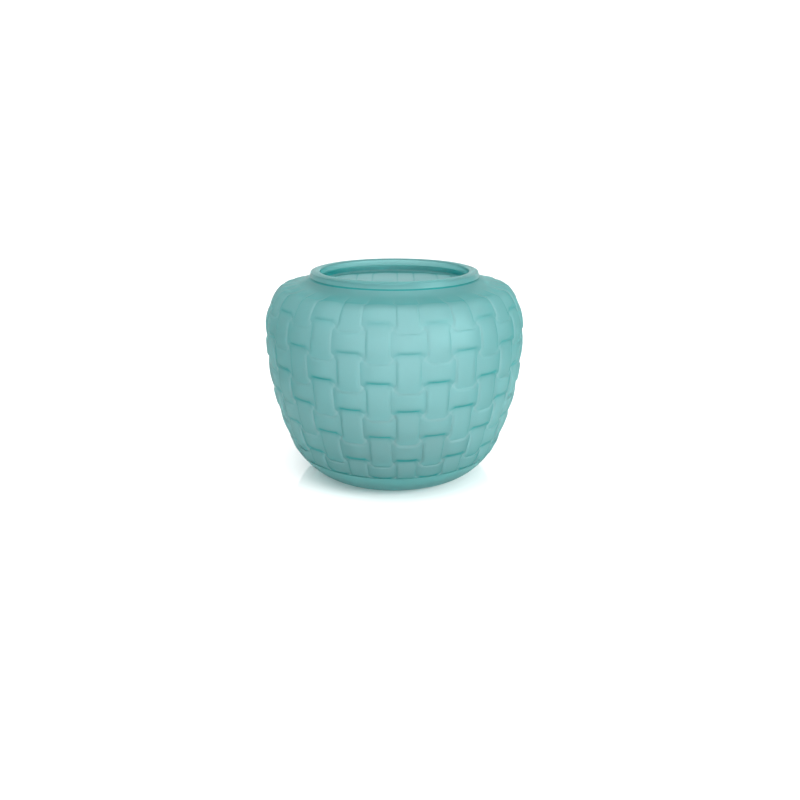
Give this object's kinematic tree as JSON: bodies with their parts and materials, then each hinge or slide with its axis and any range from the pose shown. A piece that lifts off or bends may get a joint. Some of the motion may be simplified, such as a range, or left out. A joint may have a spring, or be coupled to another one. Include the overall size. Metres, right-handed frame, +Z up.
{
  "type": "blown glass vase",
  "caption": "Squat round vase in satin turquoise glass with a moulded basket-weave skin, a plain thick base and an applied flared lip round a wide mouth.",
  "frame": {"origin": "centre of the resting ring, in the plane the vase stands on", "axes": "+Z up along the vase's axis; the weave repeats every 24 degrees about it, and a boundary between two columns faces -Y"},
  "size_m": [0.2005, 0.2002, 0.1597],
  "materials": {
    "base_glass": "satin turquoise glass, darker because it is thick",
    "woven_glass": "satin acid-frosted turquoise glass with a soft sheen",
    "lip_glass": "turquoise glass, fire polished on the land and satin below"
  },
  "bodies": {
    "root": {"base_bowl": "base_glass", "woven_body": "woven_glass", "lip_collar": "lip_glass"}
  },
  "joints": []
}
